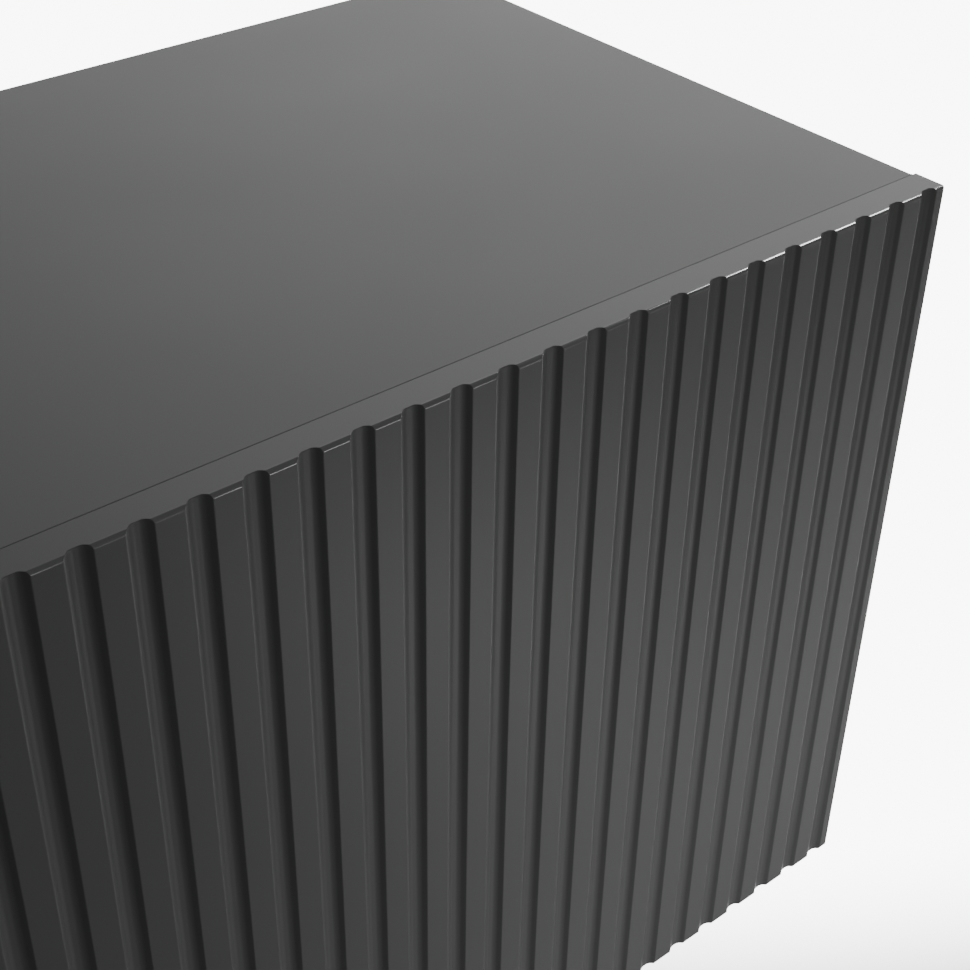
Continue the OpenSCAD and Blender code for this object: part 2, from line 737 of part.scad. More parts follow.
top_panel();
bottom_panel();
upright(0);  // left_side
upright(1);  // left_divider
upright(2);  // right_divider
upright(3);  // right_side
back_panel(0);  // left_back
back_panel(1);  // middle_back
back_panel(2);  // right_back
shelf(0);  // left_shelf
shelf(1);  // middle_shelf
shelf(2);  // right_shelf
edge_bands();
shelf_pins();
cam_locks();
cam_bolts();
dowels();
leg_frame(-frame_x);  // left_leg_frame
leg_frame(frame_x);  // right_leg_frame
centre_leg();
foot_nuts();
frame_screws();
foot(0);  // front_left_foot
foot(1);  // rear_left_foot
foot(2);  // front_right_foot
foot(3);  // rear_right_foot
foot(4);  // centre_foot
hinge_plates();
plate_screws();
hinge_arms();
arm_pins();
latch_housings();
latch_screws();
door(0);  // left_door
hinge_cups(0);  // left_hinge_cups
cup_screws(0);  // left_cup_screws
cup_pins(0);  // left_cup_pins
strike_plate(0);  // left_strike_plate
outer_links(0);  // left_outer_links
inner_links(0);  // left_inner_links
latch_plunger(0);  // left_latch_plunger
door(1);  // middle_door
hinge_cups(1);  // middle_hinge_cups
cup_screws(1);  // middle_cup_screws
cup_pins(1);  // middle_cup_pins
strike_plate(1);  // middle_strike_plate
outer_links(1);  // middle_outer_links
inner_links(1);  // middle_inner_links
latch_plunger(1);  // middle_latch_plunger
door(2);  // right_door
hinge_cups(2);  // right_hinge_cups
cup_screws(2);  // right_cup_screws
cup_pins(2);  // right_cup_pins
strike_plate(2);  // right_strike_plate
outer_links(2);  // right_outer_links
inner_links(2);  // right_inner_links
latch_plunger(2);  // right_latch_plunger
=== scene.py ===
# %% [markdown]
# # A fluted sideboard, dressed around its CAD frame
# The cabinet's sizes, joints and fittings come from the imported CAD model. This notebook gives
# it its looks: the fluted doors, the edge banding, the steel base and the feet are modelled
# again with softened edges, and the fittings are softened copies. The boards, backs, bolts and
# dowels keep their CAD shape. All get finishes made of nodes, and a camera, a floor and soft
# studio lights are set up around them.

# %% Load the frame
import json
import math

import bpy
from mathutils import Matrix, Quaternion, Vector

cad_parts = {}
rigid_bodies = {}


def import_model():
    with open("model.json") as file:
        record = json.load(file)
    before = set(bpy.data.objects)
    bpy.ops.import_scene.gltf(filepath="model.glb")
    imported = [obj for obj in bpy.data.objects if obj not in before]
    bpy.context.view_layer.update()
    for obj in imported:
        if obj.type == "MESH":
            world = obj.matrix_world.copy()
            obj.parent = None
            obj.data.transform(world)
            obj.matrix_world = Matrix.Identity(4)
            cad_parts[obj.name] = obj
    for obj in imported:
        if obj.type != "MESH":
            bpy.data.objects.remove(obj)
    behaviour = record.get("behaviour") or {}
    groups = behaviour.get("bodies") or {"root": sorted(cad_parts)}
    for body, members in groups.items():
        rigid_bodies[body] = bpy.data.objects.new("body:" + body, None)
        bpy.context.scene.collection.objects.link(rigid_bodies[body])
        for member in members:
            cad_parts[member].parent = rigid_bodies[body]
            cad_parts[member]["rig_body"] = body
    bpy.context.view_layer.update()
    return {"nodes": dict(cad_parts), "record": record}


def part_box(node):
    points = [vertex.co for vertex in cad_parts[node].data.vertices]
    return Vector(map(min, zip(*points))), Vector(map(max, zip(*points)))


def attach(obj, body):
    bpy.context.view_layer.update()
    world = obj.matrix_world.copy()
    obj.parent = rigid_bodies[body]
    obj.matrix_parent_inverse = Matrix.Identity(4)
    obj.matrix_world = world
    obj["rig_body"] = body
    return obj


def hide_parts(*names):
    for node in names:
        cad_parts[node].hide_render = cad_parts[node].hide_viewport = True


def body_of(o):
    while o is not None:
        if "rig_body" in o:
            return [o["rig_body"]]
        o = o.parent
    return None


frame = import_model()
MM = 0.001
record = frame["record"]
slot_of = {part["node"]: part["material_slot"] for part in record["subparts"]}

# %% [markdown]
# ## The camera
# The view looks down on the front right top corner, from in front of the cabinet and close to
# it. A camera can be aimed with a constraint or by typing angles. Here its place is measured
# from the corner of the right door, and it is aimed with three angles: how far it turns to the
# right of straight ahead, how far it looks down, and a small roll.

# %% Camera
corner_low, corner_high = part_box("right_door")
near_corner = Vector((corner_high.x, corner_low.y, corner_high.z))

CAMERA_OFFSET = Vector((-0.6960, -0.4690, 0.3781))
TURN, LOOK_DOWN, ROLL = math.radians(40.26), math.radians(35.08), math.radians(1.07)
LENS, SENSOR = 64.93, 36
NEAREST = 10 * MM

bpy.ops.object.select_all(action="DESELECT")
bpy.ops.object.camera_add(location=near_corner + CAMERA_OFFSET)
camera = bpy.context.object
level = math.cos(LOOK_DOWN)
aim = Vector((math.sin(TURN) * level, math.cos(TURN) * level, -math.sin(LOOK_DOWN)))
camera.rotation_mode = "QUATERNION"
camera.rotation_quaternion = aim.to_track_quat("-Z", "Y") @ Quaternion((0, 0, 1), ROLL)
camera.data.lens = LENS
camera.data.sensor_width = SENSOR
camera.data.clip_start = NEAREST
bpy.context.scene.camera = camera
print("camera at", tuple(round(v, 3) for v in camera.location))

# %% [markdown]
# ## Writing shaders as sums
# A material is a graph of nodes. Wiring one by hand in code takes many lines, so a small class
# wraps an output socket: adding, subtracting and multiplying wires makes the Math nodes. Every
# other kind of node comes from one method of the finish that it belongs to.

# %% Shader helpers
class Wire:
    """An output socket that can be used in sums."""

    def __init__(self, finish, socket):
        self.finish = finish
        self.socket = socket

    def math(self, operation, *values):
        return self.finish.node("Math", {"operation": operation}, dict(enumerate(values)))

    def __add__(self, other):
        return self.math("ADD", self, other)

    def __radd__(self, other):
        return self.math("ADD", other, self)

    def __sub__(self, other):
        return self.math("SUBTRACT", self, other)

    def __mul__(self, other):
        return self.math("MULTIPLY", self, other)

    def __gt__(self, other):
        return self.math("GREATER_THAN", self, other)


class Finish:
    """A material whose nodes are written as expressions."""

    def __init__(self, name, **fixed):
        self.material = bpy.data.materials.new(name)
        self.material.use_nodes = True
        self.tree = self.material.node_tree
        self.surface = self.tree.nodes["Principled BSDF"]
        for socket, value in fixed.items():
            self.surface.inputs[socket.replace("_", " ")].default_value = value

    def node(self, kind, settings=None, inputs=None, output=0):
        """Any node: its settings are set first, then its inputs' values or links."""
        node = self.tree.nodes.new("ShaderNode" + kind)
        for key, value in (settings or {}).items():
            setattr(node, key, value)
        for key, value in (inputs or {}).items():
            self.join(value, node.inputs[key])
        return Wire(self, node.outputs[output])

    def join(self, value, socket):
        if isinstance(value, Wire):
            self.tree.links.new(value.socket, socket)
        else:
            socket.default_value = value

    def set(self, **inputs):
        for socket, value in inputs.items():
            self.join(value, self.surface.inputs[socket.replace("_", " ")])

    def place(self, stretch=(1, 1, 1)):
        """Object coordinates in metres, stretched along each axis."""
        spot = self.node("TexCoord", output="Object")
        return self.node("Mapping", {}, {"Vector": spot, "Scale": stretch})

    def noise(self, scale, stretch=(1, 1, 1), detail=2.0, rough=0.5):
        """Soft noise around 0.5; scale is in features per metre."""
        spot = self.place(stretch)
        inputs = {"Vector": spot, "Scale": scale, "Detail": detail, "Roughness": rough}
        return self.node("TexNoise", {}, inputs, "Fac")

    def blend(self, mask, low, high):
        """Colour that goes from low to high with a mask."""
        inputs = {"Factor": mask, "A": (*low, 1), "B": (*high, 1)}
        return self.node("Mix", {"data_type": "RGBA"}, inputs, "Result")

    def bump(self, height, strength, depth):
        inputs = {"Height": height, "Strength": strength, "Distance": depth}
        return self.node("Bump", {}, inputs, "Normal")


# %% [markdown]
# ## Matt anthracite foil
# Boards, doors and banding all share one dark neutral grey. It is a printed foil with a very
# fine pressed grain: it scatters light softly, and at a flat angle it still mirrors the room.
# An image could hold the grain, but noise in object space needs no unwrapping and has no seams.

# %% Anthracite
def anthracite(name, grey, gloss, mirror):
    finish = Finish(name, Specular_IOR_Level=mirror, Coat_Roughness=0.1, Coat_IOR=1.7)
    grain = finish.noise(2600, detail=3, rough=0.6)
    cloud = finish.noise(7, detail=2)
    dark = tuple(0.95 * c for c in grey)
    light = tuple(1.05 * c for c in grey)
    finish.set(
        Base_Color=finish.blend(grain * 0.6 + cloud * 0.4, dark, light),
        Roughness=gloss + (cloud - 0.5) * 0.06 + (grain - 0.5) * 0.05,
        Normal=finish.bump(grain, 0.12, 0.02 * MM),
        Coat_Weight=finish.node("Attribute", {"attribute_name": "stretched"}, output="Fac"),
    )
    return finish.material


# %% [markdown]
# ## Board, steel and small-part finishes
# The thin back is hardboard, grey inside and raw brown outside. The base is powder coated, with
# the fine orange peel of baked powder. Fittings are nickel plated, and the latches and feet are
# moulded plastic. Each is a short function of its own.

# %% Other finishes
def hardboard(name, middle_y):
    finish = Finish(name, Roughness=0.75)
    fibre = finish.noise(900, detail=5, rough=0.7)
    fleck = finish.noise(90, detail=3)
    spot = finish.node("TexCoord", output="Object")
    depth = finish.node("SeparateXYZ", {}, {"Vector": spot}, "Y")
    mask = fibre * 0.7 + fleck * 0.3
    brown = finish.blend(mask, (0.13, 0.075, 0.04), (0.32, 0.2, 0.115))
    grey = finish.blend(fibre, (0.07, 0.07, 0.07), (0.085, 0.085, 0.085))
    mix = finish.node("Mix", {"data_type": "RGBA"}, {"Factor": depth > middle_y}, "Result")
    finish.join(grey, mix.socket.node.inputs["A"])
    finish.join(brown, mix.socket.node.inputs["B"])
    finish.set(Base_Color=mix, Normal=finish.bump(fibre, 0.3, 0.08 * MM))
    return finish.material


def powder_coat(name):
    finish = Finish(name, Specular_IOR_Level=0.5)
    peel = finish.noise(1400, detail=2)
    cloud = finish.noise(30)
    finish.set(
        Base_Color=finish.blend(cloud, (0.012, 0.012, 0.013), (0.018, 0.018, 0.019)),
        Roughness=0.42 + (cloud - 0.5) * 0.1,
        Normal=finish.bump(peel, 0.35, 0.06 * MM),
    )
    return finish.material


def nickel(name):
    finish = Finish(name, Metallic=1.0)
    brush = finish.noise(900, stretch=(1, 1, 0.12), detail=3)
    tarnish = finish.noise(60, detail=3)
    finish.set(
        Base_Color=finish.blend(tarnish, (0.52, 0.5, 0.46), (0.68, 0.66, 0.62)),
        Roughness=0.24 + brush * 0.12 + tarnish * 0.06,
        Normal=finish.bump(brush, 0.08, 0.03 * MM),
    )
    return finish.material


def moulded(name, colour, gloss):
    finish = Finish(name)
    grain = finish.noise(2200, detail=2)
    dark = tuple(0.93 * c for c in colour)
    light = tuple(1.06 * c for c in colour)
    finish.set(
        Base_Color=finish.blend(grain, dark, light),
        Roughness=gloss + (grain - 0.5) * 0.1,
        Normal=finish.bump(grain, 0.2, 0.03 * MM),
    )
    return finish.material


def beech(name):
    finish = Finish(name, Roughness=0.6)
    grain = finish.noise(700, stretch=(1, 1, 0.06), detail=4)
    fleck = finish.noise(1500, stretch=(1, 1, 0.3))
    mask = grain * 0.7 + fleck * 0.3
    finish.set(
        Base_Color=finish.blend(mask, (0.42, 0.25, 0.13), (0.68, 0.48, 0.29)),
        Normal=finish.bump(grain, 0.3, 0.05 * MM),
    )
    return finish.material


# %% Finishes by slot
ANTHRACITE = (0.045, 0.0452, 0.0454)
back_low, back_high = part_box("left_back")
finishes = {
    "anthracite_board": anthracite("anthracite board", ANTHRACITE, 0.44, 0.3),
    "fluted_front": anthracite("anthracite front", ANTHRACITE, 0.44, 0.09),
    "edge_band": anthracite("edge band", ANTHRACITE, 0.38, 0.3),
    "back_board": hardboard("hardboard", (back_low.y + back_high.y) / 2),
    "black_steel": powder_coat("powder coat"),
    "nickel_fittings": nickel("nickel"),
    "grey_plastic": moulded("grey plastic", (0.2, 0.205, 0.21), 0.42),
    "glide_plastic": moulded("black plastic", (0.02, 0.02, 0.021), 0.4),
    "beech_dowel": beech("beech"),
}
for name, node in frame["nodes"].items():
    for entry in node.material_slots:
        entry.material = finishes[slot_of[name]]
print("finishes", sorted(finishes))

# %% [markdown]
# ## Modelling helpers
# New pieces start as a cube at their size and place. Edges and faces are then picked by where
# they lie, as a hand would click them, and shaped with edit-mode operators.

# %% Edit helpers
def start_box(name, low, high):
    """A cube between two corners, with its place in its mesh."""
    bpy.ops.object.select_all(action="DESELECT")
    bpy.ops.mesh.primitive_cube_add(size=1, location=(Vector(low) + Vector(high)) / 2)
    piece = bpy.context.object
    piece.name = name
    piece.dimensions = Vector(high) - Vector(low)
    bpy.ops.object.transform_apply(location=True, rotation=True, scale=True)
    return piece


def pick(piece, kind, test):
    """Selects the vertices, edges or faces whose points all pass a test, in edit mode."""
    if bpy.context.object.mode == "EDIT":
        bpy.ops.object.mode_set(mode="OBJECT")
    mesh = piece.data
    for group in (mesh.vertices, mesh.edges, mesh.polygons):
        group.foreach_set("select", [False] * len(group))
    spots = [v.co.copy() for v in mesh.vertices]
    count = 0
    for item in getattr(mesh, kind):
        points = [item.co] if kind == "vertices" else [spots[i] for i in item.vertices]
        item.select = test(points)
        count += item.select
    bpy.ops.object.mode_set(mode="EDIT")
    bpy.ops.mesh.select_mode(type={"vertices": "VERT", "edges": "EDGE", "polygons": "FACE"}[kind])
    return count


def leave_edit():
    if bpy.context.object and bpy.context.object.mode == "EDIT":
        bpy.ops.object.mode_set(mode="OBJECT")


def near(a, b, gap=0.01 * MM):
    return abs(a - b) < gap


def finish_piece(piece, slot, body, *nodes):
    """Gives a piece its finish, ties it to its body and hides the CAD nodes that it stands for."""
    leave_edit()
    piece.data.materials.clear()
    piece.data.materials.append(finishes[slot])
    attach(piece, body)
    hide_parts(*nodes)


# %% [markdown]
# ## The fluted doors
# On the real door a board's top edge is chamfered first, then a cutter runs the grooves from
# end to end and a matt foil is pressed over it all. So a rib has a small slope on top, while
# a groove ends almost sharp. One way is to draw the profile and extrude it. Here a
# cube is cut across at every profile corner and the groove floors are pushed in, because then
# the door stays one closed box that a weighted bevel can round, edge by edge.

# %% Door profile
door_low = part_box("left_door")[0]
FULL_WIDTH = corner_high.x - door_low.x
FLUTES = 24
END_TRIM = 0.5 * MM
GROOVE_FLOOR = 5.5 * MM
GROOVE_FLANK = 3.25 * MM
GROOVE_DEPTH = 2.75 * MM
PITCH = (FULL_WIDTH + 2 * END_TRIM) / (3 * FLUTES)
FLOOR_HALF = GROOVE_FLOOR / 2
MOUTH_HALF = FLOOR_HALF + GROOVE_FLANK
BEVEL_WIDTH = 2.2 * MM
RIB_CHAMFER = 1.1 * MM


def groove_centres(index):
    start = door_low.x - END_TRIM + index * FLUTES * PITCH
    return [start + (i + 0.5) * PITCH for i in range(FLUTES)]


# %% Door body
def cut_door(name, index):
    """A door-sized cube with its grooves pushed in."""
    low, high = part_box(name)
    door = start_box(name + "_fluted", low, high)
    bpy.ops.object.mode_set(mode="EDIT")
    for centre in groove_centres(index):
        for step in (-MOUTH_HALF, -FLOOR_HALF, FLOOR_HALF, MOUTH_HALF):
            bpy.ops.mesh.select_all(action="SELECT")
            bpy.ops.mesh.bisect(plane_co=(centre + step, 0, 0), plane_no=(1, 0, 0))
    centres = groove_centres(index)

    def on_floor(points):
        p = points[0]
        return near(p.y, low.y) and any(abs(p.x - c) < FLOOR_HALF + 0.1 * MM for c in centres)

    pick(door, "vertices", on_floor)
    bpy.ops.transform.translate(value=(0, GROOVE_DEPTH, 0))
    bpy.ops.mesh.select_all(action="SELECT")
    bpy.ops.mesh.dissolve_limited(angle_limit=math.radians(0.5))
    leave_edit()
    return door


# %% [markdown]
# The bevel's width is set edge by edge, as a share of one full width. The groove's inner corners
# are widest, because the cutter's tip is round. The front's outline is softer than the ribs'
# sides, and the back is only eased.

# %% Door edges
ROUND_FLOOR, ROUND_RIB, ROUND_OUTLINE, ROUND_BACK, ROUND_REST = 0.9, 0.18, 0.5, 0.25, 0.1


def weight_edges(door):
    """Writes how much each edge is rounded, as a share of the bevel's full width."""
    mesh = door.data
    weights = mesh.attributes.new("bevel_weight_edge", "FLOAT", "EDGE")
    ys = [v.co.y for v in mesh.vertices]
    zs = [v.co.z for v in mesh.vertices]
    front, floor, back = min(ys), min(ys) + GROOVE_DEPTH, max(ys)
    tall = max(zs) - min(zs)
    for edge in mesh.edges:
        a, b = (mesh.vertices[i].co for i in edge.vertices)
        upright = abs(a.z - b.z) > tall / 2
        if upright and near(a.y, floor):
            weight = ROUND_FLOOR
        elif upright and near(a.y, front):
            weight = ROUND_RIB
        elif near(a.y, front) and near(b.y, front):
            weight = ROUND_OUTLINE
        elif near(a.y, back) or near(b.y, back):
            weight = ROUND_BACK
        else:
            weight = ROUND_REST
        weights.data[edge.index].value = weight


def soften(piece, width, segments=3):
    """A weighted bevel modifier, applied, with normals that keep the flats flat."""
    bpy.ops.object.select_all(action="DESELECT")
    bpy.context.view_layer.objects.active = piece
    piece.select_set(True)
    bevel = piece.modifiers.new("soft edges", "BEVEL")
    bevel.width = width
    bevel.segments = segments
    bevel.limit_method = "WEIGHT"
    bevel.harden_normals = True
    bpy.ops.object.shade_smooth()
    bpy.ops.object.modifier_apply(modifier=bevel.name)


# %% Rib chamfers
def chamfer_ribs(door):
    """Cuts the flat chamfer along the top front edge of every rib, in edit mode."""
    front = min(v.co.y for v in door.data.vertices)
    top = max(v.co.z for v in door.data.vertices)


    def top_front(points):
        return all(near(p.y, front) and near(p.z, top) for p in points)

    count = pick(door, "edges", top_front)
    bpy.ops.mesh.bevel(offset=RIB_CHAMFER, segments=1, affect="EDGES")
    leave_edit()
    return count


# %% Cup bores
MOUTH_DEEP = 5 * MM
BORE_PLAY = 0.05 * MM


def bore_for_cups(door, cups):
    """Cuts the two round pockets that the hinge cups sit in."""
    low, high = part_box(cups)
    mesh = frame["nodes"][cups].data
    middle_z = (low.z + high.z) / 2
    for half in (-1, 1):
        points = [v.co for v in mesh.vertices
                  if (v.co.z - middle_z) * half > 0 and v.co.y < low.y + MOUTH_DEEP]
        xs = [p.x for p in points]
        zs = [p.z for p in points]
        radius = (max(xs) - min(xs)) / 2 + BORE_PLAY
        deep = high.y - low.y
        bpy.ops.object.select_all(action="DESELECT")
        bpy.ops.mesh.primitive_cylinder_add(
            vertices=64, radius=radius, depth=2 * deep, rotation=(math.pi / 2, 0, 0),
            location=((max(xs) + min(xs)) / 2, low.y + deep - BORE_PLAY, (max(zs) + min(zs)) / 2))
        cutter = bpy.context.object
        cut = door.modifiers.new("cup bore", "BOOLEAN")
        cut.object = cutter
        cut.operation = "DIFFERENCE"
        cut.solver = "EXACT"
        bpy.ops.object.select_all(action="DESELECT")
        bpy.context.view_layer.objects.active = door
        door.select_set(True)
        bpy.ops.object.modifier_apply(modifier=cut.name)
        bpy.data.objects.remove(cutter)


# %% [markdown]
# Foil that is pulled tight over an edge turns glossy. The chamfer along the top of each rib is
# such a place, and an attribute marks it for the coat of the finish. The door's flat top edge
# has a little of the same gloss.

# %% Stretched foil
CHAMFER_REACH = 1.3 * MM
TOP_GLOSS = 0.25
TILT, SIDEWAYS = 0.1, 0.3


def mark_stretched(piece):
    """Writes how far the foil is stretched on every face; the rib chamfers get 1."""
    mesh = piece.data
    front = min(v.co.y for v in mesh.vertices)
    top = max(v.co.z for v in mesh.vertices)
    mark = mesh.attributes.new("stretched", "FLOAT", "FACE")
    count = 0
    for face in mesh.polygons:
        up_and_out = face.normal.y < -TILT and face.normal.z > TILT
        tilted = up_and_out and abs(face.normal.x) < SIDEWAYS
        stretched = tilted and face.center.y < front + CHAMFER_REACH
        on_top = near(face.center.z, top)
        mark.data[face.index].value = 1.0 if stretched else TOP_GLOSS if on_top else 0.0
        count += stretched
    return count


# %% Make the three doors
for index, side in enumerate(("left", "middle", "right")):
    door = cut_door(side + "_door", index)
    print(door.name, "chamfered ribs", chamfer_ribs(door))
    weight_edges(door)
    soften(door, BEVEL_WIDTH)
    bore_for_cups(door, side + "_hinge_cups")
    print(door.name, "stretched faces", mark_stretched(door))
    finish_piece(door, "fluted_front", side + "_door", side + "_door")
    print(door.name, "faces", len(door.data.polygons))

# %% [markdown]
# ## Edge banding
# The boards' visible edges are covered with 1 mm of hard plastic band, and its outer corners
# are scraped round so that they don't cut a hand. Each strip starts as a thin box, and only the
# two long corners that face outwards are rounded.

# %% Banding strips
band_low, band_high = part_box("edge_bands")
top_low, top_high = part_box("top_panel")
BAND = top_low.x - band_low.x
BAND_ROUND = 0.7 * BAND


def join_pieces(pieces, name):
    bpy.ops.object.select_all(action="DESELECT")
    for piece in pieces:
        piece.select_set(True)
    bpy.context.view_layer.objects.active = pieces[0]
    bpy.ops.object.join()
    pieces[0].name = name
    return pieces[0]


def band_strip(low, high, out_axis, out_side):
    """A strip whose two long corners on one side are rounded."""
    strip = start_box("strip", low, high)
    face = high[out_axis] if out_side > 0 else low[out_axis]
    size = Vector(high) - Vector(low)
    long_axis = max(range(3), key=lambda axis: size[axis])

    def outer_corner(points):
        runs = abs(points[0][long_axis] - points[1][long_axis]) > size[long_axis] / 2
        return runs and all(near(p[out_axis], face) for p in points)

    pick(strip, "edges", outer_corner)
    bpy.ops.mesh.bevel(offset=BAND_ROUND, segments=4, affect="EDGES")
    leave_edit()
    bpy.ops.object.shade_smooth_by_angle(angle=math.radians(35))
    return strip


strips = []
for board in ("top_panel", "bottom_panel"):
    low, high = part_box(board)
    for ends in (((band_low.x, band_low.y, low.z), (band_high.x, low.y, high.z), 1, -1),
                 ((band_low.x, low.y, low.z), (low.x, high.y, high.z), 0, -1),
                 ((high.x, low.y, low.z), (band_high.x, high.y, high.z), 0, 1)):
        strips.append(band_strip(*ends))
for board in ("left_side", "left_divider", "right_divider", "right_side",
              "left_shelf", "middle_shelf", "right_shelf"):
    low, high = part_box(board)
    strips.append(band_strip((low.x, low.y - BAND, low.z), (high.x, low.y, high.z), 1, -1))
finish_piece(join_pieces(strips, "edge_banding"), "edge_band", "carcass", "edge_bands")
print("banding strips", len(strips))

# %% [markdown]
# ## The steel base
# Each leg frame is a closed loop of square tube, cut at 45 degrees and welded, with a flange at
# each end that is screwed under the cabinet. Square tube is rolled, so its long corners are
# round, while the welded and ground mitres stay crisp. The loop is a box whose two broad faces
# are inset by the tube's width and bridged.

# %% Tube and flange sizes
TUBE = 25 * MM
TUBE_ROUND = 2.6 * MM
FLANGE_T = 3 * MM
FLANGE_DEEP = 50 * MM
FLANGE_ROUND = 6 * MM
RIM_SHARE, MITRE_SHARE = 0.07, 0.2


def round_by(piece, width, weigh, segments=4):
    """A weighted bevel: weigh gives each edge's share of the width from its two ends."""
    mesh = piece.data
    weights = mesh.attributes.new("bevel_weight_edge", "FLOAT", "EDGE")
    for edge in mesh.edges:
        a, b = (mesh.vertices[i].co for i in edge.vertices)
        weights.data[edge.index].value = weigh(a, b)
    soften(piece, width, segments)


def flange(low, high):
    """A flat plate with round corners in plan and eased rims."""
    plate = start_box("flange", low, high)
    round_by(plate, FLANGE_ROUND, lambda a, b: 1.0 if abs(a.z - b.z) > FLANGE_T / 2 else RIM_SHARE)
    return plate


# %% Leg frames
def leg_frame(node):
    low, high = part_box(node)
    middle = (low.x + high.x) / 2
    left, right = middle - TUBE / 2, middle + TUBE / 2
    loop = start_box(node + "_loop", (left, low.y, low.z), (right, high.y, high.z - FLANGE_T))
    for side in (left, right):
        pick(loop, "polygons", lambda ps: all(near(p.x, side) for p in ps))
        bpy.ops.mesh.inset(thickness=TUBE)

    def inner(points):
        across = all(near(p.x, left) for p in points) or all(near(p.x, right) for p in points)
        return across and all(low.y + TUBE / 2 < p.y < high.y - TUBE / 2 for p in points)

    pick(loop, "polygons", inner)
    bpy.ops.mesh.bridge_edge_loops()
    leave_edit()


    def share(a, b):
        if abs(a.x - b.x) > TUBE / 2:
            return MITRE_SHARE
        slanted = abs(a.y - b.y) > MM and abs(a.z - b.z) > MM
        return 0.0 if slanted else 1.0

    round_by(loop, TUBE_ROUND, share)
    plates = [flange((low.x, y, high.z - FLANGE_T), (high.x, y + FLANGE_DEEP, high.z))
              for y in (low.y, high.y - FLANGE_DEEP)]
    return join_pieces([loop] + plates, node + "_welded")


for node in ("left_leg_frame", "right_leg_frame"):
    finish_piece(leg_frame(node), "black_steel", "carcass", node)

# %% Centre leg
low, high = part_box("centre_leg")
post = start_box("post", (-TUBE / 2, -TUBE / 2, low.z), (TUBE / 2, TUBE / 2, high.z - FLANGE_T))
round_by(post, TUBE_ROUND, lambda a, b: 1.0 if abs(a.z - b.z) > TUBE else MITRE_SHARE)
plate = flange((low.x, low.y, high.z - FLANGE_T), high)
leg = join_pieces([post, plate], "centre_leg_welded")
finish_piece(leg, "black_steel", "carcass", "centre_leg")

# %% [markdown]
# ## Levelling feet
# A foot is a moulded glide on a threaded steel stud. The glide is a disc with a broad chamfer
# above and a small radius below, and the stud's thread shows when the foot is screwed out. A
# thread could be a true helix; at this size rings look the same and stay light.

# %% Feet
GLIDE_T = 8 * MM
STUD_D = 8 * MM
THREAD_PITCH = 1.25 * MM
THREAD_ROOT = 0.84
GLIDE_CHAMFER, GLIDE_RADIUS = 2.5 * MM, 0.8 * MM
HOLLOW_RIM, HOLLOW_DEEP = 3 * MM, 0.6 * MM
DISC_SIDES, STUD_SIDES = 64, 32


def lathe_disc(name, middle, radius, low_z, high_z, sides):
    bpy.ops.object.select_all(action="DESELECT")
    bpy.ops.mesh.primitive_cylinder_add(vertices=sides, radius=radius, depth=high_z - low_z,
                                        location=(middle.x, middle.y, (low_z + high_z) / 2))
    disc = bpy.context.object
    disc.name = name
    bpy.ops.object.transform_apply(location=True, rotation=True, scale=True)
    return disc


def rim(disc, z, width, segments):
    pick(disc, "edges", lambda ps: all(near(p.z, z) for p in ps))
    bpy.ops.mesh.bevel(offset=width, segments=segments, affect="EDGES")
    leave_edit()


def glide(node):
    low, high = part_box(node)
    middle = (low + high) / 2
    radius = (high.x - low.x) / 2
    disc = lathe_disc(node + "_glide", middle, radius, low.z, low.z + GLIDE_T, DISC_SIDES)
    rim(disc, low.z + GLIDE_T, GLIDE_CHAMFER, 3)
    rim(disc, low.z, GLIDE_RADIUS, 3)
    pick(disc, "polygons", lambda ps: len(ps) > 20 and near(ps[0].z, low.z))
    bpy.ops.mesh.inset(thickness=HOLLOW_RIM)
    bpy.ops.transform.translate(value=(0, 0, HOLLOW_DEEP))
    leave_edit()
    bpy.ops.object.shade_smooth_by_angle(angle=math.radians(30))
    return disc


def stud(node):
    low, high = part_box(node)
    middle = (low + high) / 2
    start, end = low.z + GLIDE_T - MM, high.z
    rod = lathe_disc(node + "_stud", middle, STUD_D / 2, start, end, STUD_SIDES)
    turns = int((end - start) / THREAD_PITCH)
    bpy.ops.object.mode_set(mode="EDIT")
    for ring in range(1, 2 * turns):
        bpy.ops.mesh.select_all(action="SELECT")
        bpy.ops.mesh.bisect(plane_co=(0, 0, start + ring * THREAD_PITCH / 2), plane_no=(0, 0, 1))
    roots = [start + ring * THREAD_PITCH / 2 for ring in range(1, 2 * turns, 2)]
    pick(rod, "vertices", lambda ps: any(near(ps[0].z, z) for z in roots))
    bpy.ops.transform.resize(value=(THREAD_ROOT, THREAD_ROOT, 1),
                             center_override=(middle.x, middle.y, 0))
    leave_edit()
    bpy.ops.object.shade_smooth_by_angle(angle=math.radians(20))
    return rod


for place in ("front_left", "rear_left", "front_right", "rear_right", "centre"):
    node = place + "_foot"
    finish_piece(glide(node), "glide_plastic", node, node)
    finish_piece(stud(node), "nickel_fittings", node, node)

# %% [markdown]
# ## Pressed and turned fittings
# Hinges, latches, cams and screws have the right shapes in the CAD model, but their corners are
# perfectly sharp, which real pressed steel never is. Each one is copied, its loose triangles are
# merged into faces, and a fine bevel catches the light along its corners.

# %% Softened copies
MERGE_GAP = 0.001 * MM


